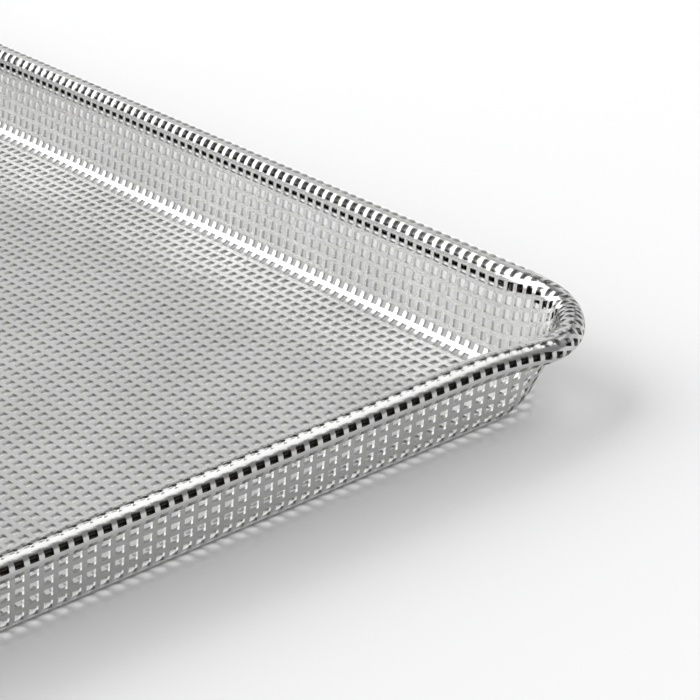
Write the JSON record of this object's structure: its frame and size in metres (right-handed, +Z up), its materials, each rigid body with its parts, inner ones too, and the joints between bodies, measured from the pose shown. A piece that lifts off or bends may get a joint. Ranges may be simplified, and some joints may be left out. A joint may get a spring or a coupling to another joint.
{
  "type": "perforated baking tray",
  "caption": "Flat rectangular baking tray drawn from perforated aluminium sheet, with low leaning walls, rounded corners and a rim rolled round a steel wire.",
  "frame": {"origin": "under the middle of the floor, on the plane the tray stands on", "axes": "+X along the tray's length, +Y across it, +Z up out of the open side"},
  "size_m": [0.6, 0.4, 0.028],
  "materials": {
    "aluminium_sheet": "satin",
    "steel_wire": "drawn"
  },
  "bodies": {
    "root": {"perforated_pan": "aluminium_sheet", "rim_wire": "steel_wire"}
  },
  "joints": []
}
